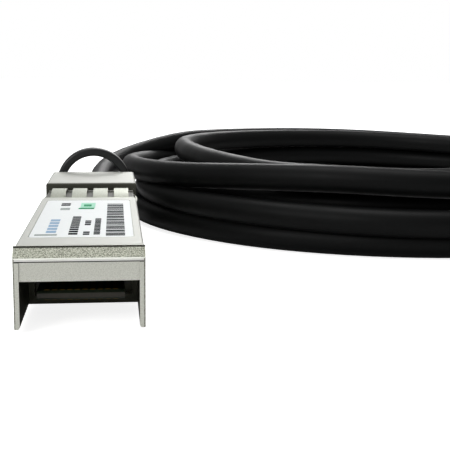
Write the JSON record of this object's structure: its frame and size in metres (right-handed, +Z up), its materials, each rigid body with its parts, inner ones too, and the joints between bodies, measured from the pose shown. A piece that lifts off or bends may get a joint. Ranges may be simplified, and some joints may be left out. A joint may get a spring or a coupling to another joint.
{
  "type": "direct attach copper cable",
  "caption": "Coiled twinax copper cable with a die-cast pluggable module at each end; a pull ring on each slides a release plate that lifts the spring-loaded latch.",
  "frame": {"origin": "Middle of the near plug's mating face, level with the underside of its shell. The floor that the cable lies on is 0.5 mm lower, at the underside of the plugs' rear blocks.", "axes": "X across the near plug, +Y from its mating face towards the cable, +Z up."},
  "size_m": [0.1308, 0.141, 0.0139],
  "materials": {
    "die_cast_shell": "satin",
    "die_cast_cover": "satin",
    "label_film": "matt",
    "circuit_board": "satin",
    "gold_contacts": "satin",
    "chip_package": "matt",
    "ceramic_chips": "satin",
    "foil_pairs": "satin",
    "crimp_brass": "satin",
    "boot_rubber": "matt",
    "spring_steel": "satin",
    "plain_steel": "satin",
    "stamped_steel": "satin",
    "spring_wire": "bright",
    "ring_plastic": "gloss",
    "cable_jacket": "gloss"
  },
  "bodies": {
    "cable_and_plugs": {"near_base_shell": "die_cast_shell", "near_top_cover": "die_cast_cover", "near_label": "label_film", "near_edge_card": "circuit_board", "near_upper_contacts": "gold_contacts", "near_lower_contacts": "gold_contacts", "near_memory_chip": "chip_package", "near_capacitors": "ceramic_chips", "near_wire_pairs": "foil_pairs", "near_ferrule": "crimp_brass", "near_strain_relief": "boot_rubber", "near_emi_collar": "spring_steel", "near_latch_pin": "plain_steel", "near_latch_spring": "spring_wire", "near_return_spring": "spring_wire", "near_block_screws": "plain_steel", "far_base_shell": "die_cast_shell", "far_top_cover": "die_cast_cover", "far_label": "label_film", "far_edge_card": "circuit_board", "far_upper_contacts": "gold_contacts", "far_lower_contacts": "gold_contacts", "far_memory_chip": "chip_package", "far_capacitors": "ceramic_chips", "far_wire_pairs": "foil_pairs", "far_ferrule": "crimp_brass", "far_strain_relief": "boot_rubber", "far_emi_collar": "spring_steel", "far_latch_pin": "plain_steel", "far_latch_spring": "spring_wire", "far_return_spring": "spring_wire", "far_block_screws": "plain_steel", "near_lead": "cable_jacket", "cable_coil": "cable_jacket", "far_lead": "cable_jacket"},
    "near_release": {"near_release_slide": "stamped_steel", "near_pull_ring": "ring_plastic", "near_ring_rivets": "plain_steel"},
    "near_latch": {"near_latch_lever": "stamped_steel"},
    "far_release": {"far_release_slide": "stamped_steel", "far_pull_ring": "ring_plastic", "far_ring_rivets": "plain_steel"},
    "far_latch": {"far_latch_lever": "stamped_steel"}
  },
  "joints": [
    {"name": "near_release_slide", "type": "slide", "parent": "cable_and_plugs", "child": "near_release", "axis": [0, 1, 0], "range_m": [0, 0.002], "stiffness_N_per_m": 400, "springref_m": -0.002, "deforming": ["near_return_spring"]},
    {"name": "near_latch_pivot", "type": "hinge", "parent": "cable_and_plugs", "child": "near_latch", "pos_m": [0, 0.0545, 0.0014], "axis": [-1, 0, 0], "range_deg": [0, 3], "stiffness_Nm_per_rad": 0.01, "deforming": ["near_latch_spring"]},
    {"name": "far_release_slide", "type": "slide", "parent": "cable_and_plugs", "child": "far_release", "axis": [0, 1, 0], "range_m": [0, 0.002], "stiffness_N_per_m": 400, "springref_m": -0.002, "deforming": ["far_return_spring"]},
    {"name": "far_latch_pivot", "type": "hinge", "parent": "cable_and_plugs", "child": "far_latch", "pos_m": [0.117, 0.0505, 0.0014], "axis": [-1, 0, 0], "range_deg": [0, 3], "stiffness_Nm_per_rad": 0.01, "deforming": ["far_latch_spring"]}
  ],
  "couplings": [
    {"joint": "near_latch_pivot", "follows": "near_release_slide", "rad_per_m": 26.17},
    {"joint": "far_latch_pivot", "follows": "far_release_slide", "rad_per_m": 26.17}
  ]
}
